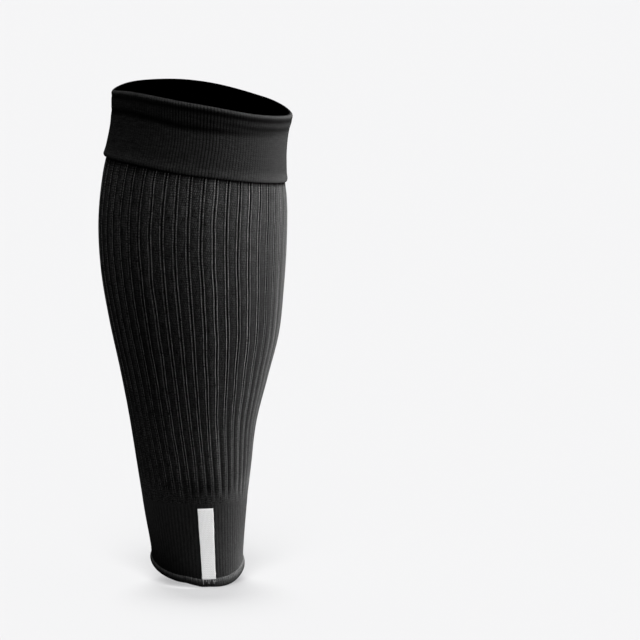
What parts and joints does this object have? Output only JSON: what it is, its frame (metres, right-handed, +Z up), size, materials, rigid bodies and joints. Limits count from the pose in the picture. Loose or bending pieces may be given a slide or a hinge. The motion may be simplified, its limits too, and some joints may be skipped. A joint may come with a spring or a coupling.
{
  "type": "footless football sock",
  "caption": "Black knitted footless football sock in its worn form: turned-down cuff, wide-ribbed leg, fine ankle band with a rolled hem and a plain white stripe.",
  "frame": {"origin": "on the leg's axis, halfway up the turned-down cuff, where the leg holds the sock up", "axes": "+Z up the leg, -Y towards the calf and the side with the stripe, +Y towards the shin, +X to the right seen from the calf"},
  "size_m": [0.1233, 0.1233, 0.3201],
  "materials": {
    "cuff_knit": "fine plain knit, matt black",
    "rib_knit": "wide-ribbed knit, matt black",
    "band_knit": "fine ribbed knit, matt black",
    "hem_knit": "overlocked roll, matt black",
    "stripe_knit": "close knit, matt white"
  },
  "bodies": {
    "root": {"cuff": "cuff_knit", "leg_tube": "rib_knit", "ankle_band": "band_knit", "hem_roll": "hem_knit", "stripe": "stripe_knit"}
  },
  "joints": []
}
